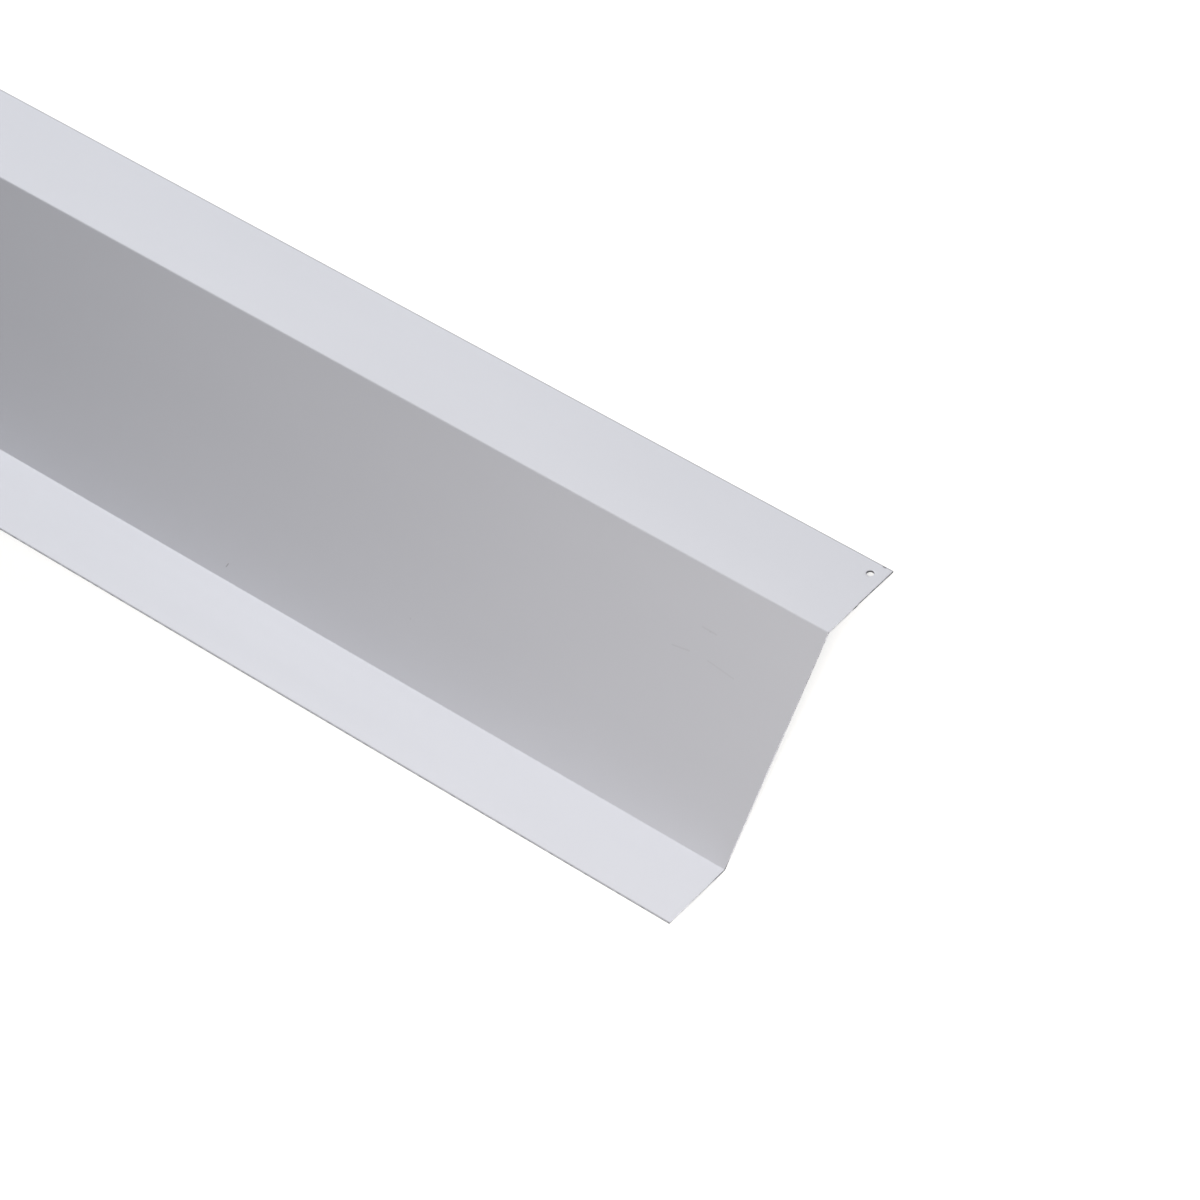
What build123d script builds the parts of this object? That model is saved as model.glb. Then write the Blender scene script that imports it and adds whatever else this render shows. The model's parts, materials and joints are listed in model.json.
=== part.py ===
from build123d import *
from math import asin, atan2, cos, degrees, hypot, radians, sin
import os

# Z flashing: one strip of coated steel sheet with two folds along its length.
# It is drawn as it is fitted, with both flanges level, then laid on the floor
# the way it comes to rest. X runs along the length and Z is up.

# Strip, in millimetres
FLASHING_LENGTH = 2000.0
SHEET_THICKNESS = 0.6
FOLD_INSIDE_RADIUS = 0.4

# Widths on the coated face, from an edge to a fold line or from fold to fold
UPPER_FLANGE_WIDTH = 35.0
WEB_WIDTH = 86.0
LOWER_FLANGE_WIDTH = 29.0

# Turns of the sheet at the folds, in degrees
UPPER_FOLD_TURN = 50.0
LOWER_FOLD_TURN = 50.0

# Hole in the upper flange's corner, by which the flashing is hung up
HANGING_HOLE_DIAMETER = 2.5
HANGING_HOLE_FROM_EDGE = 5.4
HANGING_HOLE_FROM_END = 5.4

# Radii of the folds on the side that is stretched
FOLD_OUTSIDE_RADIUS = FOLD_INSIDE_RADIUS + SHEET_THICKNESS

# Directions across the profile, in degrees: level, down the web, and out again
UPPER_FLANGE_DIRECTION = 180.0
WEB_DIRECTION = UPPER_FLANGE_DIRECTION + UPPER_FOLD_TURN
LOWER_FLANGE_DIRECTION = WEB_DIRECTION - LOWER_FOLD_TURN


def step(start, width, direction):
    """Point that lies a width away from start, across the profile."""
    return start + Vector(width * cos(radians(direction)), width * sin(radians(direction)))


# Corners of the coated face in the profile, where its flat stretches would meet
UPPER_EDGE = Vector(0, 0)
UPPER_FOLD = step(UPPER_EDGE, UPPER_FLANGE_WIDTH, UPPER_FLANGE_DIRECTION)
LOWER_FOLD = step(UPPER_FOLD, WEB_WIDTH, WEB_DIRECTION)
LOWER_EDGE = step(LOWER_FOLD, LOWER_FLANGE_WIDTH, LOWER_FLANGE_DIRECTION)


def folded_sheet():
    """The whole strip, folded: its coated face is bent outwards at the upper
    fold and inwards at the lower one, and the sheet lies below that face."""
    coated_face = FilletPolyline(
        UPPER_EDGE,
        UPPER_FOLD,
        LOWER_FOLD,
        LOWER_EDGE,
        radius=(FOLD_OUTSIDE_RADIUS, FOLD_INSIDE_RADIUS),
    )
    outline = offset(coated_face, SHEET_THICKNESS, side=Side.LEFT)
    profile = Plane.YZ * make_face(outline)
    return extrude(profile, FLASHING_LENGTH / 2, both=True)


def hanging_hole():
    """Drill for the hole through the upper flange, set out from its corner."""
    drill = Cylinder(HANGING_HOLE_DIAMETER / 2, 4 * SHEET_THICKNESS)
    centre = step(UPPER_EDGE, HANGING_HOLE_FROM_EDGE, UPPER_FLANGE_DIRECTION)
    along = FLASHING_LENGTH / 2 - HANGING_HOLE_FROM_END
    square_to_flange = Rot(UPPER_FLANGE_DIRECTION, 0, 0)
    return Pos(along, centre.X, centre.Y) * square_to_flange * drill


def resting_turn():
    """Turn about X, in degrees, that brings the upper flange's edge and the
    outside of the lower fold down on the floor together."""
    edge = step(UPPER_EDGE, SHEET_THICKNESS, UPPER_FLANGE_DIRECTION + 90)
    bisector = (WEB_DIRECTION + LOWER_FLANGE_DIRECTION) / 2 - 90
    fold_centre = step(LOWER_FOLD, FOLD_INSIDE_RADIUS / cos(radians(LOWER_FOLD_TURN / 2)), bisector)
    reach = edge - fold_centre
    drop = degrees(atan2(reach.Y, reach.X))
    lift = degrees(asin(FOLD_OUTSIDE_RADIUS / hypot(reach.X, reach.Y)))
    return -(drop + lift)


def laid_on_floor(shape):
    """Shape turned to rest, its box centred on the origin and standing on it."""
    turned = Rot(resting_turn(), 0, 0) * shape
    box = turned.bounding_box()
    return Pos(-box.center().X, -box.center().Y, -box.min.Z) * turned


flashing_sheet = laid_on_floor(folded_sheet() - hanging_hole())

os.makedirs("parts", exist_ok=True)
export_step(flashing_sheet, "parts/flashing_sheet.step")
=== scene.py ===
import json
from math import asin, atan2, cos, hypot, pi, radians, sin, tan

import bmesh
import bpy
from bpy.props import FloatProperty, FloatVectorProperty, IntProperty, PointerProperty
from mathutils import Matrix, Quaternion, Vector


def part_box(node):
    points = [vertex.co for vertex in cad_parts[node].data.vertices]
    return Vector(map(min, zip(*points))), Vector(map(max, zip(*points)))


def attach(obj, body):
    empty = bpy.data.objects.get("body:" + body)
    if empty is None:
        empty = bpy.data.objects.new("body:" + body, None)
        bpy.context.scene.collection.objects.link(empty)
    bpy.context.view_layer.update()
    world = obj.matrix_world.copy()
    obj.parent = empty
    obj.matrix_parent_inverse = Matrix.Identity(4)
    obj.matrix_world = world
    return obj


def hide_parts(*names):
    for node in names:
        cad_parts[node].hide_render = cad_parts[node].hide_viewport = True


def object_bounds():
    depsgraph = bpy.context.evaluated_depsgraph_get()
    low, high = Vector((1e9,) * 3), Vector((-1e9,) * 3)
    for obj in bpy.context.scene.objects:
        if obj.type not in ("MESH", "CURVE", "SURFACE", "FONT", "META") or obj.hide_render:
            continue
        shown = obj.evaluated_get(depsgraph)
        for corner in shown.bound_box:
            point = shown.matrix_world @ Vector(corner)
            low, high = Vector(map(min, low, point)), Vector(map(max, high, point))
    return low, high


bl_info = {
    "name": "Z flashing",
    "version": (1, 0, 0),
    "blender": (4, 5, 0),
    "location": "View3D > Sidebar > Flashing",
    "description": "Cuts, punches and folds a coated steel z flashing and lays it on a pale floor",
    "category": "Object",
}

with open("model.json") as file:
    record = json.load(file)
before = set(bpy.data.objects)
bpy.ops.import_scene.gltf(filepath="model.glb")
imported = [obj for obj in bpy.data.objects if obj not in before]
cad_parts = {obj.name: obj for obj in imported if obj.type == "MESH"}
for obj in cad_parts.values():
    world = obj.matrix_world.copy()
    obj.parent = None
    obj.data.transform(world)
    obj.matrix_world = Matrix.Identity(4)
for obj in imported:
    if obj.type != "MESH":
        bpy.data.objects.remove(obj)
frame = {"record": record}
CAD_LOW, CAD_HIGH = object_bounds()

MM = 0.001

# Names of the solid that the sheet stands for and of the piece
SHEET_NODE = "flashing_sheet"
SHEET_PIECE = "coated_flashing"

# The hanging hole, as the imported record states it
HOLE_MOUNT = next(m for m in frame["record"]["mounts"] if m["name"] == "hanging_hole")
HOLE_MIDDLE = Vector(HOLE_MOUNT["pos_m"])
FLANGE_NORMAL = Vector(HOLE_MOUNT["axis"])
SHEET_THICKNESS = HOLE_MOUNT["dims"]["length_mm"] * MM
UPPER_EDGE = Vector((HOLE_MIDDLE.x, CAD_HIGH.y, SHEET_THICKNESS * FLANGE_NORMAL.z))
ACROSS_FLANGE = Vector((0, -FLANGE_NORMAL.z, FLANGE_NORMAL.y))

# Maps and attributes that the materials and the tree read
BLANK_MAP = "blank"
BAKE_MAP = "OFBake"
SIDE = "side"
DEPTH = "depth"
COATED, BACK, CUT = 0, 1, 2

# Steps of the blank's grid
HOLE_STEPS = 14
HOLE_RINGS = 5
HOLE_MARGIN = 3.4 * MM
FOLD_STEPS = 8

# Stretches of the strip that the square map holds as rows, as shares of its length,
# and how much of the map's breadth a row takes. The end with the hole is the last.
COATED_ROWS = ((0.0, 0.4, 0.994), (0.4, 0.8, 0.994), (0.8, 1.0, 0.994))
BACK_ROWS = ((0.0, 0.5, 0.7), (0.5, 1.0, 0.7))
MAP_MARGIN = 0.003

# Distance between the thin lines of the cut edges, in margins, and the turn that the
# line of the hole's wall holds, which is a little over a full one
CUT_LINE_SPACING = 1.3
HOLE_LINE_TURN = 2.1 * pi

# How closely the folded sheet has to fill the box of the solid it stands for
BOX_TOLERANCE = 0.06 * MM


def srgb(hex_colour):
    """Linear red, green and blue of a colour written as #rrggbb."""
    channels = [int(hex_colour[i : i + 2], 16) / 255 for i in (1, 3, 5)]
    return tuple(c / 12.92 if c <= 0.04045 else ((c + 0.055) / 1.055) ** 2.4 for c in channels)


def add_node(tree, kind, sockets=None, **settings):
    """A new node with its settings; each socket named or numbered gets a link or a value."""
    node = tree.nodes.new(kind)
    for name, value in settings.items():
        setattr(node, name, value)
    for name, value in (sockets or {}).items():
        if isinstance(value, bpy.types.NodeSocket):
            tree.links.new(value, node.inputs[name])
        else:
            node.inputs[name].default_value = value
    return node


class FlashingSizes(bpy.types.PropertyGroup):
    """Sizes of the strip, its folds and its hole, and of the marks on its edges."""

    length: FloatProperty(
        name="Length",
        description="Length of the strip",
        default=CAD_HIGH.x - CAD_LOW.x,
        unit="LENGTH",
    )
    thickness: FloatProperty(
        name="Thickness",
        description="Thickness of the coated sheet",
        default=SHEET_THICKNESS,
        unit="LENGTH",
    )
    upper_flange: FloatProperty(
        name="Upper flange",
        description="Width on the coated face, from the outer edge to the upper fold line",
        default=35 * MM,
        unit="LENGTH",
    )
    web: FloatProperty(
        name="Web",
        description="Width on the coated face, from fold line to fold line",
        default=86 * MM,
        unit="LENGTH",
    )
    lower_flange: FloatProperty(
        name="Lower flange",
        description="Width on the coated face, from the lower fold line to the outer edge",
        default=29 * MM,
        unit="LENGTH",
    )
    inside_radius: FloatProperty(
        name="Inside radius",
        description="Radius on the hollow side of each fold",
        default=0.4 * MM,
        unit="LENGTH",
    )
    upper_turn: FloatProperty(
        name="Upper fold",
        description="Turn of the sheet at the upper fold",
        default=radians(50),
        subtype="ANGLE",
    )
    lower_turn: FloatProperty(
        name="Lower fold",
        description="Turn of the sheet at the lower fold",
        default=radians(50),
        subtype="ANGLE",
    )
    hole_radius: FloatProperty(
        name="Hole radius",
        description="Radius of the hanging hole",
        default=HOLE_MOUNT["dims"]["r_mm"] * MM,
        unit="LENGTH",
    )
    hole_from_end: FloatProperty(
        name="Hole from end",
        description="From the middle of the hole to the cut end",
        default=CAD_HIGH.x - HOLE_MIDDLE.x,
        unit="LENGTH",
    )
    hole_from_edge: FloatProperty(
        name="Hole from edge",
        description="From the middle of the hole to the upper flange's outer edge",
        default=(HOLE_MIDDLE - UPPER_EDGE).dot(ACROSS_FLANGE),
        unit="LENGTH",
    )
    rim_rounding: FloatProperty(
        name="Rim rounding",
        description="Radius that the shears leave along the sheet's rims",
        default=0.05 * MM,
        unit="LENGTH",
    )
    punched_rounding: FloatProperty(
        name="Punched rounding",
        description="Radius that the punch leaves along the hole's rims",
        default=0.1 * MM,
        unit="LENGTH",
    )
    die_roll: FloatProperty(
        name="Die roll",
        description="How far the punch draws the face down round the hole's rim",
        default=0.06 * MM,
        unit="LENGTH",
    )
    burr: FloatProperty(
        name="Burr",
        description="How far the punch drags the back down round the hole",
        default=0.2 * MM,
        unit="LENGTH",
    )
    nick_from_end: FloatProperty(
        name="Nick from end",
        description="Place of the small nick in the upper flange's outer edge",
        default=3.3 * MM,
        unit="LENGTH",
    )
    nick_depth: FloatProperty(
        name="Nick depth",
        description="Depth of the small nick",
        default=0.15 * MM,
        unit="LENGTH",
    )
    bite_from_edge: FloatProperty(
        name="Second bite",
        description="Where across the end cut the shears took their second bite",
        default=18.9 * MM,
        unit="LENGTH",
    )
    bite_step: FloatProperty(
        name="Bite step",
        description="Step in the end cut between the two bites",
        default=0.15 * MM,
        unit="LENGTH",
    )
    wave_height: FloatProperty(
        name="Wave height",
        description="Height of the slow waves that thin sheet has between its folds",
        default=0.1 * MM,
        unit="LENGTH",
    )
    wave_length: FloatProperty(
        name="Wave length",
        description="From one slow wave of the web to the next",
        default=180 * MM,
        unit="LENGTH",
    )
    wave_seed: IntProperty(
        name="Wave seed",
        description="Picks one set of slow waves",
        default=4,
    )


class FlashingFinish(bpy.types.PropertyGroup):
    """Colours and gloss of the flashing's surfaces."""

    coating: FloatVectorProperty(
        name="Coating",
        description="Colour of the polyester coating on the face",
        default=srgb("#d8dbe5"),
        subtype="COLOR",
    )
    coating_roughness: FloatProperty(
        name="Coating roughness",
        description="Roughness of the satin coating",
        default=0.42,
        subtype="FACTOR",
    )
    scuff: FloatVectorProperty(
        name="Scuff",
        description="Colour of the scuffs and specks on the coating",
        default=srgb("#6f6e74"),
        subtype="COLOR",
    )
    backing: FloatVectorProperty(
        name="Backing coat",
        description="Colour of the thin coat on the back",
        default=srgb("#c6c8ca"),
        subtype="COLOR",
    )
    # Painted reflection and shade: the torn steel is far darker than bare steel, standing in for the dark
    # surroundings that a cut edge mirrors and the shade it lies in
    torn_steel_dark_reflection: FloatVectorProperty(
        name="Torn steel",
        description="Colour of the bare steel that shows in a cut edge",
        default=srgb("#37383d"),
        subtype="COLOR",
    )
    zinc: FloatVectorProperty(
        name="Zinc",
        description="Colour of the zinc that the shears drag over a cut edge",
        default=srgb("#cbccd1"),
        subtype="COLOR",
    )


class FlashingStudio(bpy.types.PropertyGroup):
    """Camera, lamps and floor."""

    azimuth: FloatProperty(
        name="Azimuth",
        description="Side that the camera looks from; 90 degrees is from the end with the hole",
        default=radians(88.7108),
        subtype="ANGLE",
    )
    elevation: FloatProperty(
        name="Elevation",
        description="Angle of the camera above the floor",
        default=radians(63.2602),
        subtype="ANGLE",
    )
    roll: FloatProperty(
        name="Roll",
        description="Turn of the camera about its line of sight",
        default=radians(59.3341),
        subtype="ANGLE",
    )
    distance: FloatProperty(
        name="Distance",
        description="From the camera to the point that it is aimed at",
        default=1798.0 * MM,
        unit="LENGTH",
    )
    aim: FloatVectorProperty(
        name="Aim",
        description="Point on the web that the camera is aimed at",
        default=(CAD_HIGH.x - 80.91 * MM, 12.677 * MM, 14.525 * MM),
        subtype="TRANSLATION",
        unit="LENGTH",
    )
    focal_length: FloatProperty(
        name="Focal length",
        description="Focal length of the lens, in millimetres",
        default=163.4,
    )
    sky: FloatProperty(
        name="Sky",
        description="Strength of the even light from all round",
        default=0.1,
    )
    key_power: FloatProperty(
        name="Key lamp",
        description="Power of the broad lamp that faces the flanges",
        default=38,
        unit="POWER",
    )
    fill_power: FloatProperty(
        name="Fill lamp",
        description="Power of the soft lamp near the end with the hole",
        default=1.55,
        unit="POWER",
    )


def fold_setback(radius, turn):
    """From the end of a fold's bend to its fold line, where the flats would meet."""
    return radius * tan(turn / 2)


def fold_places(sizes):
    """Where the upper and the lower bend start and end on the blank, and its width,
    measured over the coated face from the upper flange's outer edge."""
    outside_radius = sizes.inside_radius + sizes.thickness
    upper_setback = fold_setback(outside_radius, sizes.upper_turn)
    lower_setback = fold_setback(sizes.inside_radius, sizes.lower_turn)
    upper_start = sizes.upper_flange - upper_setback
    upper_end = upper_start + outside_radius * sizes.upper_turn
    lower_start = upper_end + sizes.web - upper_setback - lower_setback
    lower_end = lower_start + sizes.inside_radius * sizes.lower_turn
    width = lower_end + sizes.lower_flange - lower_setback
    return upper_start, upper_end, lower_start, lower_end, width


def resting_turn(sizes):
    """Turn about the length, from both flanges level, that brings the upper flange's
    edge and the outside of the lower fold down on the floor together."""
    to_bend = sizes.inside_radius / cos(sizes.lower_turn / 2)
    slope = sizes.upper_turn
    lean = slope - sizes.lower_turn / 2
    across = sizes.upper_flange + sizes.web * cos(slope) + to_bend * sin(lean)
    down = sizes.web * sin(slope) - to_bend * cos(lean) - sizes.thickness
    outside_radius = sizes.inside_radius + sizes.thickness
    return -(atan2(down, across) + asin(outside_radius / hypot(across, down)))


def divided(start, *stretches):
    """Places along a line; each stretch (end, steps) is cut into equal steps."""
    places = [start]
    for end, steps in stretches:
        places += [start + (end - start) * i / steps for i in range(1, steps)] + [end]
        start = end
    return places


class Blank:
    """The flat blank: a grid of places along its length and across its width, with
    a square patch of its own round the hole."""

    def __init__(self, sizes):
        self.sizes = sizes
        self.half = sizes.length / 2
        upper_start, upper_end, lower_start, lower_end, self.width = fold_places(sizes)
        self.hole = Vector((self.half - sizes.hole_from_end, -sizes.hole_from_edge, 0))
        patch_start, patch_end = self.hole.x - HOLE_MARGIN, self.hole.x + HOLE_MARGIN
        patch_top, patch_foot = sizes.hole_from_edge - HOLE_MARGIN, sizes.hole_from_edge + HOLE_MARGIN
        row_ends = sorted({self.along_at(row[1]) for row in COATED_ROWS + BACK_ROWS} - {self.half})
        self.along = divided(
            -self.half,
            (row_ends[0], 100),
            (row_ends[1], 25),
            (row_ends[2], 75),
            (patch_start, 49),
            (patch_end, HOLE_STEPS),
            (self.half, 4),
        )
        self.across = divided(
            0.0,
            (patch_top, 4),
            (patch_foot, HOLE_STEPS),
            (sizes.bite_from_edge - sizes.bite_step, 5),
            (sizes.bite_from_edge + sizes.bite_step, 1),
            (upper_start, 6),
            (upper_end, FOLD_STEPS),
            (lower_start, 24),
            (lower_end, FOLD_STEPS),
            (self.width, 8),
        )

        # Columns and rows of the grid that bound the square patch
        self.left, self.right = self.along.index(patch_start), self.along.index(patch_end)
        self.top, self.foot = self.across.index(patch_top), self.across.index(patch_foot)

    def along_at(self, share):
        """Place along the strip at a share of its length."""
        return -self.half + share * self.sizes.length

    def point(self, along, across):
        """Point of the coated face, with the nick and the two bites of the end cut."""
        bite, nick = self.sizes.bite_from_edge, self.sizes.nick_depth
        if along == self.half and across < bite:
            along -= self.sizes.bite_step * across / bite
        if across == 0.0:
            off = abs(self.half - self.sizes.nick_from_end - along)
            across = max(0.0, nick - off / 2)
        return Vector((along, -across, 0))

    def patch_border(self):
        """Grid places round the square patch, once round."""
        border = [(column, self.top) for column in range(self.left, self.right)]
        border += [(self.right, row) for row in range(self.top, self.foot)]
        border += [(column, self.foot) for column in range(self.right, self.left, -1)]
        border += [(self.left, row) for row in range(self.foot, self.top, -1)]
        return border


def lay_coated_face(mesh, blank):
    """Lays the blank's coated face as quads, but for the square round the hole."""
    grid = {}
    for column, along in enumerate(blank.along):
        for row, across in enumerate(blank.across):
            inside = blank.left < column < blank.right and blank.top < row < blank.foot
            if not inside:
                grid[column, row] = mesh.verts.new(blank.point(along, across))
    for column in range(len(blank.along) - 1):
        for row in range(len(blank.across) - 1):
            in_patch = blank.left <= column < blank.right and blank.top <= row < blank.foot
            if not in_patch:
                corners = ((0, 0), (0, 1), (1, 1), (1, 0))
                mesh.faces.new([grid[column + c, row + r] for c, r in corners])
    return [grid[place] for place in blank.patch_border()]


def punch_hole(mesh, blank, border):
    """Fills the square with rings of quads that close in on the round hole, and draws
    the rim down a little. Gives the rim's points."""
    rim = []
    for number in range(len(border)):
        turn = 3 * pi / 4 - 2 * pi * number / len(border)
        rim.append(blank.hole + blank.sizes.hole_radius * Vector((cos(turn), sin(turn), 0)))
    ring = border
    for step in range(1, HOLE_RINGS + 1):
        share = step / HOLE_RINGS
        inner = [mesh.verts.new(b.co.lerp(r, share)) for b, r in zip(border, rim)]
        for i in range(len(ring)):
            following = (i + 1) % len(ring)
            mesh.faces.new([ring[i], inner[i], inner[following], ring[following]])
        ring = inner
    for vertex in ring:
        vertex.co.z -= blank.sizes.die_roll
    return ring


def give_thickness(mesh, sizes, hole_rim):
    """Adds the cut walls and the back below the coated face, with a burr round the
    hole, and notes the side of the sheet that each face belongs to."""
    side_layer = mesh.faces.layers.int[SIDE]
    coated = list(mesh.faces)
    rims = [edge for edge in mesh.edges if edge.is_boundary]
    drop = Vector((0, 0, -sizes.thickness))
    below = {vertex: mesh.verts.new(vertex.co + drop) for vertex in list(mesh.verts)}
    for vertex in hole_rim:
        below[vertex].co.z -= sizes.burr
    for edge in rims:
        start = edge.link_loops[0].vert
        end = edge.other_vert(start)
        wall = mesh.faces.new([end, start, below[start], below[end]])
        wall[side_layer] = CUT
    for face in coated:
        face[side_layer] = COATED
        back = mesh.faces.new([below[vertex] for vertex in reversed(face.verts)])
        back[side_layer] = BACK


def round_rims(mesh, blank):
    """Rounds the rims of both faces a little. Shears and punch break the coats off
    there, so what they round counts as cut. The mesh is in millimetres meanwhile,
    because the bevel closes up when its steps are as small as these are in metres."""
    sizes = blank.sizes
    side_layer = mesh.faces.layers.int[SIDE]
    rims = [edge for edge in mesh.edges if len({face[side_layer] for face in edge.link_faces}) > 1]
    near = 2 * sizes.hole_radius
    punched = [edge for edge in rims if (edge.verts[0].co - blank.hole).length < near]
    sheared = [edge for edge in rims if edge not in punched]
    bmesh.ops.scale(mesh, vec=(1 / MM, 1 / MM, 1 / MM), verts=mesh.verts)
    for edges, radius in ((punched, sizes.punched_rounding), (sheared, sizes.rim_rounding)):
        rounded = bmesh.ops.bevel(
            mesh,
            geom=edges,
            offset=radius / MM,
            segments=2,
            profile=0.5,
            affect="EDGES",
        )
        for face in rounded["faces"]:
            face[side_layer] = CUT
    bmesh.ops.scale(mesh, vec=(MM, MM, MM), verts=mesh.verts)
    mesh.normal_update()


def sort_faces(mesh):
    """Sorts the faces by their points. The bevel leaves some in another order each run."""
    mesh.verts.index_update()
    ordered = sorted(mesh.faces, key=lambda face: sorted(vertex.index for vertex in face.verts))
    for number, face in enumerate(ordered):
        face.index = number
    mesh.faces.sort()


class BakeLayout:
    """Lays the blank out in a square, in rows: the coated face from the bottom up,
    the back above it, and the cut edges as thin lines on top."""

    def __init__(self, blank):
        self.blank = blank
        self.rows = []
        low = MAP_MARGIN
        for side, rows in ((COATED, COATED_ROWS), (BACK, BACK_ROWS)):
            for first, last, breadth in rows:
                start, end = blank.along_at(first), blank.along_at(last)
                scale = breadth / (end - start)
                self.rows.append((side, start, end, low, scale))
                low += blank.width * scale + MAP_MARGIN
        self.top = low

    def on_a_side(self, side, middle, place):
        """Place in the square of a corner on the coated face or the back."""
        for row_side, start, end, low, scale in self.rows:
            if row_side == side and start < middle.x < end:
                return MAP_MARGIN + (place.x - start) * scale, low - place.y * scale

    def on_a_cut(self, middle, place):
        """Place in the square of a corner on a cut edge."""
        blank = self.blank
        near = 0.5 * MM
        share = (place.x + blank.half) / blank.sizes.length
        if abs(middle.x) > blank.half - near:
            line = 2 if middle.x > 0 else 3
            share = -place.y / blank.width
        elif middle.y > -near:
            line = 0
        elif middle.y < near - blank.width:
            line = 1
        else:
            line = 4
            from_hole = middle - blank.hole
            off = place - blank.hole
            turn = atan2(from_hole.y, from_hole.x)
            swing = Vector(from_hole.xy).angle_signed(Vector(off.xy))
            share = 0.5 + (turn - swing) / HOLE_LINE_TURN
        rise = -place.z / blank.sizes.thickness
        breadth = 1 - 2 * MAP_MARGIN
        return MAP_MARGIN + share * breadth, self.top + MAP_MARGIN * (CUT_LINE_SPACING * line + rise)


def add_maps(mesh, blank):
    """Gives each corner its place on the blank and in the square, and each point its
    depth below the coated face."""
    side_layer = mesh.faces.layers.int[SIDE]
    depth_layer = mesh.verts.layers.float.new(DEPTH)
    blank_layer = mesh.loops.layers.uv.new(BLANK_MAP)
    bake_layer = mesh.loops.layers.uv.new(BAKE_MAP)
    layout = BakeLayout(blank)
    for vertex in mesh.verts:
        vertex[depth_layer] = -vertex.co.z / blank.sizes.thickness
    for face in mesh.faces:
        side = face[side_layer]
        face.smooth = True
        middle = face.calc_center_median()
        for loop in face.loops:
            place = loop.vert.co
            loop[blank_layer].uv = place.x, -place.y
            if side == CUT:
                loop[bake_layer].uv = layout.on_a_cut(middle, place)
            else:
                loop[bake_layer].uv = layout.on_a_side(side, middle, place)


def flat_blank(sizes):
    """Mesh of the flat blank, coated face up, with the hole punched through."""
    blank = Blank(sizes)
    mesh = bmesh.new()
    mesh.faces.layers.int.new(SIDE)
    border = lay_coated_face(mesh, blank)
    hole_rim = punch_hole(mesh, blank, border)
    give_thickness(mesh, sizes, hole_rim)
    round_rims(mesh, blank)
    sort_faces(mesh)
    add_maps(mesh, blank)
    result = bpy.data.meshes.new("flat_blank")
    mesh.to_mesh(result)
    mesh.free()
    return result


def new_shape_tree(name, inputs):
    """A Geometry Nodes tree that takes a shape and named sizes and gives a shape."""
    tree = bpy.data.node_groups.new(name, "GeometryNodeTree")
    tree.interface.new_socket("Geometry", in_out="INPUT", socket_type="NodeSocketGeometry")
    for given in inputs:
        tree.interface.new_socket(given, in_out="INPUT", socket_type="NodeSocketFloat")
    tree.interface.new_socket("Geometry", in_out="OUTPUT", socket_type="NodeSocketGeometry")
    return tree, add_node(tree, "NodeGroupInput").outputs


def wave_tree():
    """Lifts and lowers the sheet between two lines in slow waves."""
    names = ("Start", "End", "Height", "Wave length", "Seed")
    tree, given = new_shape_tree("Slow waves", names)
    position = add_node(tree, "GeometryNodeInputPosition").outputs[0]
    place = add_node(tree, "ShaderNodeSeparateXYZ", {0: position}).outputs
    across = add_node(tree, "ShaderNodeMath", {0: place["Y"], 1: -1}, operation="MULTIPLY")
    both = add_node(tree, "ShaderNodeMath", {0: given["Start"], 1: given["End"]}, operation="ADD")
    middle = add_node(tree, "ShaderNodeMath", {0: both.outputs[0], 1: 0.5}, operation="MULTIPLY")
    shares = []
    for line in ("Start", "End"):
        limits = {"Value": across.outputs[0], "From Min": given[line], "From Max": middle.outputs[0]}
        share = add_node(tree, "ShaderNodeMapRange", limits, interpolation_type="SMOOTHSTEP")
        shares.append(share.outputs[0])
    window = add_node(tree, "ShaderNodeMath", dict(enumerate(shares)), operation="MULTIPLY")
    flat = add_node(tree, "ShaderNodeCombineXYZ", {"X": place["X"], "Y": place["Y"]})
    scale = add_node(tree, "ShaderNodeMath", {0: 1, 1: given["Wave length"]}, operation="DIVIDE")
    settings = {"Vector": flat.outputs[0], "W": given["Seed"], "Scale": scale.outputs[0], "Detail": 1}
    noise = add_node(tree, "ShaderNodeTexNoise", settings, noise_dimensions="4D")
    swing = {"Value": noise.outputs[0], "From Min": 0.2, "From Max": 0.8, "To Min": -1, "To Max": 1}
    swing = add_node(tree, "ShaderNodeMapRange", swing)
    sizes = {0: swing.outputs[0], 1: given["Height"]}
    height = add_node(tree, "ShaderNodeMath", sizes, operation="MULTIPLY")
    sizes = {0: height.outputs[0], 1: window.outputs[0]}
    lift = add_node(tree, "ShaderNodeMath", sizes, operation="MULTIPLY")
    offset = add_node(tree, "ShaderNodeCombineXYZ", {"Z": lift.outputs[0]})
    sockets = {"Geometry": given["Geometry"], "Offset": offset.outputs[0]}
    moved = add_node(tree, "GeometryNodeSetPosition", sockets)
    add_node(tree, "NodeGroupOutput", {0: moved.outputs[0]})
    return tree


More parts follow.
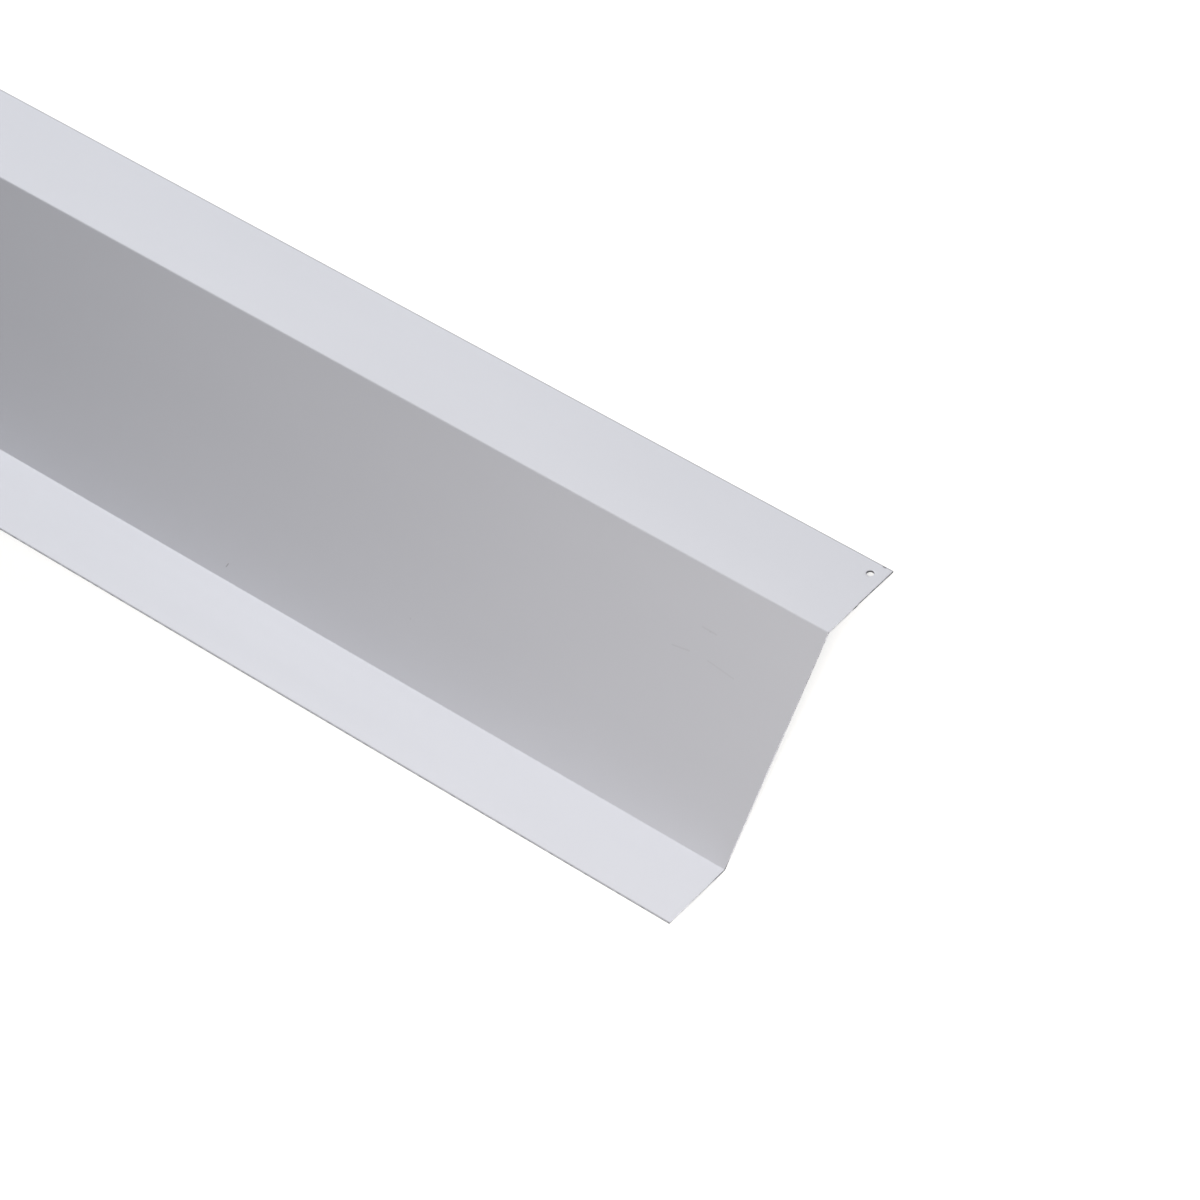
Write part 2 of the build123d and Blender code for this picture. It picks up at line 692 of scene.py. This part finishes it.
def fold_tree():
    """Folds what lies past a line of the sheet. Each place slides back by the length
    that the bend takes up before it, and turns about the bend's middle."""
    tree, given = new_shape_tree("Fold", ("Line", "Radius on face", "Turn"))
    radius = given["Radius on face"]
    position = add_node(tree, "GeometryNodeInputPosition").outputs[0]
    place = add_node(tree, "ShaderNodeSeparateXYZ", {0: position}).outputs
    minus_y = add_node(tree, "ShaderNodeMath", {0: place["Y"], 1: -1}, operation="MULTIPLY")
    past = {0: minus_y.outputs[0], 1: given["Line"]}
    past = add_node(tree, "ShaderNodeMath", past, operation="SUBTRACT")
    bend = add_node(tree, "ShaderNodeMath", {0: radius, 1: given["Turn"]}, operation="MULTIPLY")
    limits = {"Value": past.outputs[0], "Min": 0, "Max": bend.outputs[0]}
    taken = add_node(tree, "ShaderNodeClamp", limits).outputs[0]
    turn = add_node(tree, "ShaderNodeMath", {0: taken, 1: radius}, operation="DIVIDE")
    slide = add_node(tree, "ShaderNodeCombineXYZ", {"Y": taken})
    slid = add_node(tree, "ShaderNodeVectorMath", {0: position, 1: slide.outputs[0]}, operation="ADD")
    line = add_node(tree, "ShaderNodeMath", {0: given["Line"], 1: -1}, operation="MULTIPLY")
    down = add_node(tree, "ShaderNodeMath", {0: radius, 1: -1}, operation="MULTIPLY")
    middle = add_node(tree, "ShaderNodeCombineXYZ", {"Y": line.outputs[0], "Z": down.outputs[0]})
    sockets = {"Vector": slid.outputs[0], "Center": middle.outputs[0], "Angle": turn.outputs[0]}
    turned = add_node(tree, "ShaderNodeVectorRotate", sockets, rotation_type="X_AXIS")
    sockets = {"Geometry": given["Geometry"], "Position": turned.outputs[0]}
    folded = add_node(tree, "GeometryNodeSetPosition", sockets)
    add_node(tree, "NodeGroupOutput", {0: folded.outputs[0]})
    return tree


def rest_tree():
    """Turns the folded strip about its length, stands it on the floor and centres it."""
    tree, given = new_shape_tree("Lay on the floor", ("Turn",))
    angles = add_node(tree, "ShaderNodeCombineXYZ", {"X": given["Turn"]})
    sockets = {"Geometry": given["Geometry"], "Rotation": angles.outputs[0]}
    turned = add_node(tree, "GeometryNodeTransform", sockets).outputs[0]
    box = add_node(tree, "GeometryNodeBoundBox", {"Geometry": turned}).outputs
    low = add_node(tree, "ShaderNodeSeparateXYZ", {0: box["Min"]}).outputs
    high = add_node(tree, "ShaderNodeSeparateXYZ", {0: box["Max"]}).outputs
    both = add_node(tree, "ShaderNodeMath", {0: low["Y"], 1: high["Y"]}, operation="ADD")
    aside = add_node(tree, "ShaderNodeMath", {0: both.outputs[0], 1: -0.5}, operation="MULTIPLY")
    lift = add_node(tree, "ShaderNodeMath", {0: low["Z"], 1: -1}, operation="MULTIPLY")
    shift = add_node(tree, "ShaderNodeCombineXYZ", {"Y": aside.outputs[0], "Z": lift.outputs[0]})
    sockets = {"Geometry": turned, "Translation": shift.outputs[0]}
    laid = add_node(tree, "GeometryNodeTransform", sockets)
    add_node(tree, "NodeGroupOutput", {0: laid.outputs[0]})
    return tree


def flashing_tree(names, materials):
    """Flat blank in, flashing out, with one input for each named size. The lower fold
    is made first, while the sheet above it still lies flat, and each side of the sheet
    gets its material."""
    tree, given = new_shape_tree("Z flashing", names)
    sockets = {
        "Geometry": given["Geometry"],
        "Start": given["Web start"],
        "End": given["Lower fold line"],
        "Height": given["Wave height"],
        "Wave length": given["Wave length"],
        "Seed": given["Seed"],
    }
    shape = add_node(tree, "GeometryNodeGroup", sockets, node_tree=wave_tree())
    fold = fold_tree()
    for which in ("Lower", "Upper"):
        sockets = {
            "Geometry": shape.outputs[0],
            "Line": given[f"{which} fold line"],
            "Radius on face": given[f"{which} radius on face"],
            "Turn": given[f"{which} turn"],
        }
        shape = add_node(tree, "GeometryNodeGroup", sockets, node_tree=fold)
    sockets = {"Geometry": shape.outputs[0], "Turn": given["Resting turn"]}
    shape = add_node(tree, "GeometryNodeGroup", sockets, node_tree=rest_tree())
    shape = add_node(tree, "GeometryNodeRealizeInstances", {"Geometry": shape.outputs[0]})
    side = add_node(tree, "GeometryNodeInputNamedAttribute", {"Name": SIDE}, data_type="INT")
    for number, material in materials.items():
        sockets = {2: side.outputs[0], 3: number}
        same = add_node(tree, "FunctionNodeCompare", sockets, data_type="INT", operation="EQUAL")
        sockets = {"Geometry": shape.outputs[0], "Selection": same.outputs[0], "Material": material}
        shape = add_node(tree, "GeometryNodeSetMaterial", sockets)
    add_node(tree, "NodeGroupOutput", {0: shape.outputs[0]})
    return tree


def fold_flashing(sizes, materials):
    """The finished flashing as a plain mesh piece, folded from the flat blank."""
    blank = bpy.data.objects.new("flat_blank", flat_blank(sizes))
    bpy.context.scene.collection.objects.link(blank)
    upper_start, upper_end, lower_start, lower_end, width = fold_places(sizes)
    values = {
        "Upper fold line": upper_start,
        "Upper radius on face": sizes.inside_radius + sizes.thickness,
        "Upper turn": sizes.upper_turn,
        "Lower fold line": lower_start,
        "Lower radius on face": -sizes.inside_radius,
        "Lower turn": -sizes.lower_turn,
        "Web start": upper_end,
        "Resting turn": resting_turn(sizes),
        "Wave height": sizes.wave_height,
        "Wave length": sizes.wave_length,
        "Seed": float(sizes.wave_seed),
    }
    folding = blank.modifiers.new("Fold", "NODES")
    folding.node_group = flashing_tree(values, materials)
    for item in folding.node_group.interface.items_tree:
        if item.in_out == "INPUT" and item.name in values:
            folding[item.identifier] = values[item.name]
    shading = blank.modifiers.new("Flat faces rule the shading", "WEIGHTED_NORMAL")
    shading.mode = "FACE_AREA"
    graph = bpy.context.evaluated_depsgraph_get()
    mesh = bpy.data.meshes.new_from_object(
        blank.evaluated_get(graph), preserve_all_data_layers=True, depsgraph=graph
    )
    mesh.name = SHEET_PIECE
    piece = bpy.data.objects.new(SHEET_PIECE, mesh)
    bpy.context.scene.collection.objects.link(piece)
    blank.modifiers.clear()
    bpy.data.objects.remove(blank)
    return piece


def check_against_frame(piece):
    """Stops if the folded sheet doesn't fill the box of the solid it stands for, or
    if its hole isn't where the record states it."""
    low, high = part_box(SHEET_NODE)
    points = [vertex.co for vertex in piece.data.vertices]
    for axis in range(3):
        lowest = min(point[axis] for point in points)
        highest = max(point[axis] for point in points)
        if abs(lowest - low[axis]) > BOX_TOLERANCE or abs(highest - high[axis]) > BOX_TOLERANCE:
            raise RuntimeError(
                f"axis {axis}: the sheet spans {lowest:.6f} to {highest:.6f} m, and its solid "
                f"{low[axis]:.6f} to {high[axis]:.6f} m"
            )
    near_hole = [p for p in points if (p - HOLE_MIDDLE).length < 1.2 * HOLE_MOUNT["dims"]["r_mm"] * MM]
    off = sum(near_hole, Vector()) / max(len(near_hole), 1) - HOLE_MIDDLE
    aside = off - off.dot(FLANGE_NORMAL) * FLANGE_NORMAL
    if not near_hole or aside.length > BOX_TOLERANCE:
        raise RuntimeError(f"the hole lies {aside.length:.6f} m from where the record has it")


def new_material(name):
    """A material whose tree holds only its main shader and its output."""
    material = bpy.data.materials.new(name)
    material.use_nodes = True
    tree = material.node_tree
    tree.nodes.clear()
    shader = add_node(tree, "ShaderNodeBsdfPrincipled")
    add_node(tree, "ShaderNodeOutputMaterial", {"Surface": shader.outputs[0]})
    return material, tree, shader


# Scuffs and specks on the coating. Each has where it starts and ends, in millimetres
# from the end with the hole and from the upper flange's outer edge, half its breadth
# in millimetres, and how strongly it shows.
SCUFFS = (
    ((3.6, 0.3), (3.1, 0.3), 0.70, 1.00),
    ((49.9, 63.8), (43.3, 62.8), 0.50, 0.09),
    ((42.4, 53.6), (36.6, 53.7), 0.50, 0.09),
    ((39.2, 53.8), (39.0, 53.8), 0.40, 0.18),
    ((35.8, 62.7), (24.6, 63.8), 0.45, 0.07),
    ((218.5, 115.4), (218.9, 116.7), 0.30, 0.55),
    ((144.3, 100.1), (144.1, 100.3), 0.40, 0.13),
)

# Darker, duller stretch along the two long edges
EDGE_DARK_BREADTH = 0.5 * MM
EDGE_DARK_STRENGTH = 0.8


def scuff_tree():
    """Strength of one straight scuff at a place on the blank."""
    tree = bpy.data.node_groups.new("Scuff", "ShaderNodeTree")
    for name in ("Place", "Start", "End"):
        tree.interface.new_socket(name, in_out="INPUT", socket_type="NodeSocketVector")
    for name in ("Half breadth", "Strength"):
        tree.interface.new_socket(name, in_out="INPUT", socket_type="NodeSocketFloat")
    tree.interface.new_socket("Mark", in_out="OUTPUT", socket_type="NodeSocketFloat")
    given = add_node(tree, "NodeGroupInput").outputs
    line = {0: given["End"], 1: given["Start"]}
    line = add_node(tree, "ShaderNodeVectorMath", line, operation="SUBTRACT").outputs[0]
    reach = {0: given["Place"], 1: given["Start"]}
    reach = add_node(tree, "ShaderNodeVectorMath", reach, operation="SUBTRACT").outputs[0]
    onto = add_node(tree, "ShaderNodeVectorMath", {0: reach, 1: line}, operation="DOT_PRODUCT")
    square = add_node(tree, "ShaderNodeVectorMath", {0: line, 1: line}, operation="DOT_PRODUCT")
    share = {0: onto.outputs["Value"], 1: square.outputs["Value"]}
    share = add_node(tree, "ShaderNodeMath", share, operation="DIVIDE", use_clamp=True).outputs[0]
    nearest = add_node(tree, "ShaderNodeVectorMath", {0: line, "Scale": share}, operation="SCALE")
    off = {0: reach, 1: nearest.outputs[0]}
    off = add_node(tree, "ShaderNodeVectorMath", off, operation="DISTANCE").outputs["Value"]
    sockets = {"Value": off, "From Max": given["Half breadth"], "To Min": given["Strength"], "To Max": 0}
    mark = add_node(tree, "ShaderNodeMapRange", sockets, interpolation_type="SMOOTHSTEP")
    add_node(tree, "NodeGroupOutput", {0: mark.outputs[0]})
    return tree


def scuff_marks(tree, place, half_length):
    """Strength of the strongest scuff at a place on the blank."""
    scuff = scuff_tree()
    marks = 0.0
    for start, end, half_breadth, strength in SCUFFS:
        sockets = {
            "Place": place,
            "Start": (half_length - start[0] * MM, start[1] * MM, 0),
            "End": (half_length - end[0] * MM, end[1] * MM, 0),
            "Half breadth": half_breadth * MM,
            "Strength": strength,
        }
        mark = add_node(tree, "ShaderNodeGroup", sockets, node_tree=scuff)
        marks = {0: marks, 1: mark.outputs[0]}
        marks = add_node(tree, "ShaderNodeMath", marks, operation="MAXIMUM").outputs[0]
    return marks


def edge_darkening(tree, place, width):
    """Strength of the darkening and dulling along the two long edges."""
    across = add_node(tree, "ShaderNodeSeparateXYZ", {0: place}).outputs["Y"]
    other = add_node(tree, "ShaderNodeMath", {0: width, 1: across}, operation="SUBTRACT")
    sockets = {0: across, 1: other.outputs[0]}
    nearest = add_node(tree, "ShaderNodeMath", sockets, operation="MINIMUM").outputs[0]
    sockets = {"Value": nearest, "From Max": EDGE_DARK_BREADTH, "To Min": EDGE_DARK_STRENGTH, "To Max": 0}
    return add_node(tree, "ShaderNodeMapRange", sockets).outputs[0]


def stretched(tree, place, along, across):
    """A place on the blank, scaled so that a pattern repeats at these two lengths."""
    scale = (1 / along, 1 / across, 1)
    return add_node(tree, "ShaderNodeMapping", {"Vector": place, "Scale": scale}).outputs[0]


def coil_coating(sizes, finish):
    """Polyester coil coating, rolled on the flat strip and baked. It gives an even
    satin grey white, with a faint orange peel and fainter lines drawn out along the
    strip by the rollers, and each scuff shows on it as a soft dull line."""
    material, tree, shader = new_material("polyester_coil_coating")
    place = add_node(tree, "ShaderNodeUVMap", uv_map=BLANK_MAP).outputs[0]

    # Film thickness drifts over a hand's breadth, by about one part in a hundred
    drift = {"Vector": stretched(tree, place, 140 * MM, 60 * MM), "Scale": 1, "Detail": 3}
    drift = add_node(tree, "ShaderNodeTexNoise", drift).outputs[0]
    shade = {"Value": drift, "From Min": 0.3, "From Max": 0.7, "To Min": 0.985, "To Max": 1.015}
    shade = add_node(tree, "ShaderNodeMapRange", shade).outputs[0]
    sockets = {0: tuple(finish.coating), "Scale": shade}
    clean = add_node(tree, "ShaderNodeVectorMath", sockets, operation="SCALE").outputs[0]
    marks = scuff_marks(tree, place, sizes.length / 2)
    edge_dark = edge_darkening(tree, place, fold_places(sizes)[-1])
    marks = add_node(tree, "ShaderNodeMath", {0: marks, 1: edge_dark}, operation="MAXIMUM").outputs[0]
    sockets = {0: marks, 6: clean, 7: (*finish.scuff, 1)}
    colour = add_node(tree, "ShaderNodeMix", sockets, data_type="RGBA").outputs[2]
    tree.links.new(colour, shader.inputs["Base Color"])

    # Roller lines 0.7 mm apart, too fine to show but for a slight drag in the gloss
    lines = {"Vector": stretched(tree, place, 320 * MM, 0.7 * MM), "Scale": 1, "Detail": 2}
    lines = add_node(tree, "ShaderNodeTexNoise", lines).outputs[0]
    rough = finish.coating_roughness
    sockets = {"Value": lines, "To Min": rough - 0.05, "To Max": rough + 0.05}
    gloss = add_node(tree, "ShaderNodeMapRange", sockets).outputs[0]
    sockets = {0: marks, 1: 0.4, 2: gloss}
    dulled = add_node(tree, "ShaderNodeMath", sockets, operation="MULTIPLY_ADD").outputs[0]
    tree.links.new(dulled, shader.inputs["Roughness"])

    # Orange peel with cells of 1.6 mm, about two micrometres deep
    peel = {"Vector": place, "Scale": 1 / (1.6 * MM), "Detail": 1}
    peel = add_node(tree, "ShaderNodeTexNoise", peel).outputs[0]
    sockets = {0: lines, 1: 0.4, 2: peel}
    relief = add_node(tree, "ShaderNodeMath", sockets, operation="MULTIPLY_ADD").outputs[0]
    bump = add_node(tree, "ShaderNodeBump", {"Height": relief, "Distance": 0.002 * MM, "Strength": 1})
    tree.links.new(bump.outputs[0], shader.inputs["Normal"])
    return material


def backing_coat(finish):
    """Thin epoxy backing coat. It is a flatter grey than the face, and the rollers'
    lines show in it, because the film is too thin to level out."""
    material, tree, shader = new_material("epoxy_backing_coat")
    place = add_node(tree, "ShaderNodeUVMap", uv_map=BLANK_MAP).outputs[0]
    lines = {"Vector": stretched(tree, place, 260 * MM, 1.1 * MM), "Scale": 1, "Detail": 3}
    lines = add_node(tree, "ShaderNodeTexNoise", lines).outputs[0]
    shade = {"Value": lines, "From Min": 0.25, "From Max": 0.75, "To Min": 0.93, "To Max": 1.04}
    shade = add_node(tree, "ShaderNodeMapRange", shade).outputs[0]
    sockets = {0: tuple(finish.backing), "Scale": shade}
    colour = add_node(tree, "ShaderNodeVectorMath", sockets, operation="SCALE").outputs[0]
    tree.links.new(colour, shader.inputs["Base Color"])
    gloss = add_node(tree, "ShaderNodeMapRange", {"Value": lines, "To Min": 0.5, "To Max": 0.66})
    tree.links.new(gloss.outputs[0], shader.inputs["Roughness"])
    bump = add_node(tree, "ShaderNodeBump", {"Height": lines, "Distance": 0.003 * MM, "Strength": 1})
    tree.links.new(bump.outputs[0], shader.inputs["Normal"])
    return material


# Share of zinc smeared over the cut, at places in millimetres from the upper flange's outer edge. The
# smear is real, but its rise and fall along the cut is partly painted reflection and shade, lighter where
# the end caught light and darker where it mirrored dark or lay in shade: the two long edges and the cuts
# by the hole and the lower fold are dark.
ZINC_SMEAR_AND_REFLECTION = (
    (0.0, 0.0),
    (5.0, 0.22),
    (9.0, 0.07),
    (11.5, 0.07),
    (17.0, 0.32),
    (20.5, 0.1),
    (22.0, 0.65),
    (33.0, 0.75),
    (40.0, 0.7),
    (50.0, 0.55),
    (62.0, 0.7),
    (80.0, 0.9),
    (90.0, 1.0),
    (116.0, 1.0),
    (120.5, 0.15),
    (126.5, 0.2),
    (128.5, 0.7),
    (134.0, 0.6),
    (140.0, 0.9),
    (148.0, 0.9),
    (149.0, 0.5),
)


def sheared_steel(sizes, finish):
    """Galvanised steel, sheared and left bare. The knife drags bright zinc over the first third of the
    cut, and the rest tears off dull and dark. The torn steel is painted darker than bare steel, and the
    zinc's rise and fall along the cut is partly painted reflection and shade."""
    material, tree, shader = new_material("sheared_galvanised_steel")
    place = add_node(tree, "ShaderNodeUVMap", uv_map=BLANK_MAP).outputs[0]
    across = add_node(tree, "ShaderNodeSeparateXYZ", {0: place}).outputs["Y"]
    depth = add_node(tree, "ShaderNodeAttribute", attribute_name=DEPTH).outputs["Fac"]
    width = fold_places(sizes)[-1]
    share = add_node(tree, "ShaderNodeMath", {0: across, 1: width}, operation="DIVIDE").outputs[0]
    # Painted reflection and shade: this ramp lightens and darkens the cut along its length, partly for the
    # zinc smear and partly for how the cut caught light
    smear_and_reflection = add_node(tree, "ShaderNodeValToRGB", {0: share})
    stops = smear_and_reflection.color_ramp.elements
    stops.remove(stops[-1])
    for number, (from_edge, amount) in enumerate(ZINC_SMEAR_AND_REFLECTION):
        stop = stops.new(from_edge * MM / width) if number else stops[0]
        stop.color = (amount, amount, amount, 1)

    # Torn patches of 2 mm, drawn across the cut
    torn = add_node(tree, "ShaderNodeTexNoise", {"Vector": place, "Scale": 1 / (2 * MM), "Detail": 3})
    patches = {"Value": torn.outputs[0], "From Min": 0.35, "From Max": 0.65, "To Min": -0.2, "To Max": 0.2}
    patches = add_node(tree, "ShaderNodeMapRange", patches).outputs[0]
    sockets = {0: smear_and_reflection.outputs[0], 1: patches}
    amount = add_node(tree, "ShaderNodeMath", sockets, operation="ADD").outputs[0]
    band = {"Value": depth, "From Min": 0.3, "From Max": 0.45, "To Min": 0.06, "To Max": -0.06}
    band = add_node(tree, "ShaderNodeMapRange", band).outputs[0]
    sockets = {0: amount, 1: band}
    amount = add_node(tree, "ShaderNodeMath", sockets, operation="ADD", use_clamp=True).outputs[0]
    # Painted reflection and shade: the torn steel colour mixed here is far darker than bare steel
    sockets = {0: amount, 6: (*finish.torn_steel_dark_reflection, 1), 7: (*finish.zinc, 1)}
    colour = add_node(tree, "ShaderNodeMix", sockets, data_type="RGBA").outputs[2]
    tree.links.new(colour, shader.inputs["Base Color"])
    shader.inputs["Metallic"].default_value = 1
    gloss = add_node(tree, "ShaderNodeMapRange", {"Value": amount, "To Min": 0.65, "To Max": 0.4})
    tree.links.new(gloss.outputs[0], shader.inputs["Roughness"])
    sockets = {"Height": torn.outputs[0], "Distance": 0.02 * MM, "Strength": 1}
    bump = add_node(tree, "ShaderNodeBump", sockets)
    tree.links.new(bump.outputs[0], shader.inputs["Normal"])
    return material


# Floor
FLOOR_HALF = 9.0
FLOOR_COLOUR = "#f0f0f0"
FLOOR_GLOW = 0.72

# Lamps: where each stands, what it is aimed at and how broad it is, in metres
KEY_PLACE = (-0.5, 1.8, 1.12)
KEY_AIM = (0.2, 0.0, 0.0)
KEY_BREADTH = 1.3
KEY_COLOUR = "#ffffff"
FILL_PLACE = (1.15, -0.1, 0.53)
FILL_AIM = (0.96, 0.0, 0.0)
FILL_BREADTH = 0.3
FILL_COLOUR = "#fff8ef"


def seen_directly(tree):
    """1 for the rays that show a background: the camera's, gloss and see-through."""
    rays = add_node(tree, "ShaderNodeLightPath").outputs
    sockets = {0: rays["Is Camera Ray"], 1: rays["Is Glossy Ray"]}
    seen = add_node(tree, "ShaderNodeMath", sockets, operation="MAXIMUM").outputs[0]
    sockets = {0: seen, 1: rays["Is Transmission Ray"]}
    return add_node(tree, "ShaderNodeMath", sockets, operation="MAXIMUM").outputs[0]


def white_board():
    """Matt white studio board. It gives the eye a plain white with the soft shadow
    of the sheet on it, and lights the sheet's back a little."""
    material, tree, shader = new_material("matt_white_board")
    place = add_node(tree, "ShaderNodeTexCoord").outputs["Object"]
    grain = add_node(tree, "ShaderNodeTexNoise", {"Vector": place, "Scale": 1 / (4 * MM), "Detail": 2})
    sockets = {"Value": grain.outputs[0], "To Min": 0.85, "To Max": 0.95}
    rough = add_node(tree, "ShaderNodeMapRange", sockets)
    tree.links.new(rough.outputs[0], shader.inputs["Roughness"])
    shader.inputs["Base Color"].default_value = (*srgb(FLOOR_COLOUR), 1)
    shader.inputs["Emission Color"].default_value = (1, 1, 1, 1)
    sockets = {0: seen_directly(tree), 1: FLOOR_GLOW}
    glow = add_node(tree, "ShaderNodeMath", sockets, operation="MULTIPLY")
    tree.links.new(glow.outputs[0], shader.inputs["Emission Strength"])
    return material


def lay_floor():
    """Plain floor that the flashing lies on."""
    mesh = bmesh.new()
    bmesh.ops.create_grid(mesh, x_segments=1, y_segments=1, size=FLOOR_HALF)
    data = bpy.data.meshes.new("floor")
    mesh.to_mesh(data)
    mesh.free()
    data.materials.append(white_board())
    floor = bpy.data.objects.new("floor", data)
    bpy.context.scene.collection.objects.link(floor)


def even_sky(strength):
    """Light from all round at an even strength, which shows as plain white."""
    world = bpy.data.worlds.new("even_white_sky")
    world.use_nodes = True
    tree = world.node_tree
    tree.nodes.clear()
    sockets = {"Value": seen_directly(tree), "To Min": strength, "To Max": 1}
    level = add_node(tree, "ShaderNodeMapRange", sockets).outputs[0]
    sky = add_node(tree, "ShaderNodeBackground", {"Color": (1, 1, 1, 1), "Strength": level})
    add_node(tree, "ShaderNodeOutputWorld", {"Surface": sky.outputs[0]})
    bpy.context.scene.world = world


def soft_lamp(name, place, aim, breadth, colour, power):
    """A square lamp aimed at a point, which the camera doesn't see."""
    light = bpy.data.lights.new(name, "AREA")
    light.energy = power
    light.size = breadth
    light.color = srgb(colour)
    lamp = bpy.data.objects.new(name, light)
    lamp.location = place
    lamp.rotation_mode = "QUATERNION"
    lamp.rotation_quaternion = (Vector(aim) - Vector(place)).to_track_quat("-Z", "Y")
    lamp.visible_camera = False
    bpy.context.scene.collection.objects.link(lamp)


def set_camera(studio):
    """Camera that looks down on the end with the hole."""
    azimuth, elevation = studio.azimuth, studio.elevation
    level = cos(elevation)
    back = Vector((sin(azimuth) * level, -cos(azimuth) * level, sin(elevation)))
    data = bpy.data.cameras.new("camera")
    data.sensor_width = 36
    data.lens = studio.focal_length
    data.clip_start = 0.01
    data.clip_end = 100
    camera = bpy.data.objects.new("camera", data)
    camera.location = Vector(studio.aim) + back * studio.distance
    camera.rotation_mode = "QUATERNION"
    turn = Quaternion((0, 0, 1), -studio.roll)
    camera.rotation_quaternion = (-back).to_track_quat("-Z", "Y") @ turn
    bpy.context.scene.collection.objects.link(camera)
    bpy.context.scene.camera = camera


class FLASHING_OT_fold_sheet(bpy.types.Operator):
    """Cut and punch the blank, fold it twice and lay the flashing on the floor"""

    bl_idname = "flashing.fold_sheet"
    bl_label = "Fold the flashing"

    def execute(self, context):
        sizes, finish = context.scene.flashing_sizes, context.scene.flashing_finish
        materials = {
            COATED: coil_coating(sizes, finish),
            BACK: backing_coat(finish),
            CUT: sheared_steel(sizes, finish),
        }
        piece = fold_flashing(sizes, materials)
        check_against_frame(piece)
        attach(piece, "root")
        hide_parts(SHEET_NODE)
        return {"FINISHED"}


class FLASHING_OT_set_stage(bpy.types.Operator):
    """Lay the pale floor, set the lamps and aim the camera"""

    bl_idname = "flashing.set_stage"
    bl_label = "Set the stage"

    def execute(self, context):
        studio = context.scene.flashing_studio
        lay_floor()
        even_sky(studio.sky)
        soft_lamp("key_lamp", KEY_PLACE, KEY_AIM, KEY_BREADTH, KEY_COLOUR, studio.key_power)
        soft_lamp("fill_lamp", FILL_PLACE, FILL_AIM, FILL_BREADTH, FILL_COLOUR, studio.fill_power)
        set_camera(studio)
        context.scene.view_settings.view_transform = "Standard"
        return {"FINISHED"}


class FLASHING_PT_panel(bpy.types.Panel):
    """Sizes, finish and stage of the flashing"""

    bl_idname = "FLASHING_PT_panel"
    bl_label = "Z flashing"
    bl_space_type = "VIEW_3D"
    bl_region_type = "UI"
    bl_category = "Flashing"

    def draw(self, context):
        groups = (
            (context.scene.flashing_sizes, FLASHING_OT_fold_sheet),
            (context.scene.flashing_finish, None),
            (context.scene.flashing_studio, FLASHING_OT_set_stage),
        )
        for group, operator in groups:
            box = self.layout.box()
            for name in type(group).__annotations__:
                box.prop(group, name)
            if operator:
                box.operator(operator.bl_idname)


GROUPS = {
    "flashing_sizes": FlashingSizes,
    "flashing_finish": FlashingFinish,
    "flashing_studio": FlashingStudio,
}
CLASSES = (*GROUPS.values(), FLASHING_OT_fold_sheet, FLASHING_OT_set_stage, FLASHING_PT_panel)


def register():
    for cls in CLASSES:
        bpy.utils.register_class(cls)
    for name, group in GROUPS.items():
        setattr(bpy.types.Scene, name, PointerProperty(type=group))


def unregister():
    for name in GROUPS:
        delattr(bpy.types.Scene, name)
    for cls in reversed(CLASSES):
        bpy.utils.unregister_class(cls)


def main():
    """Makes the flashing and its stage."""
    register()
    bpy.ops.flashing.fold_sheet()
    bpy.ops.flashing.set_stage()


if __name__ == "__main__":
    main()
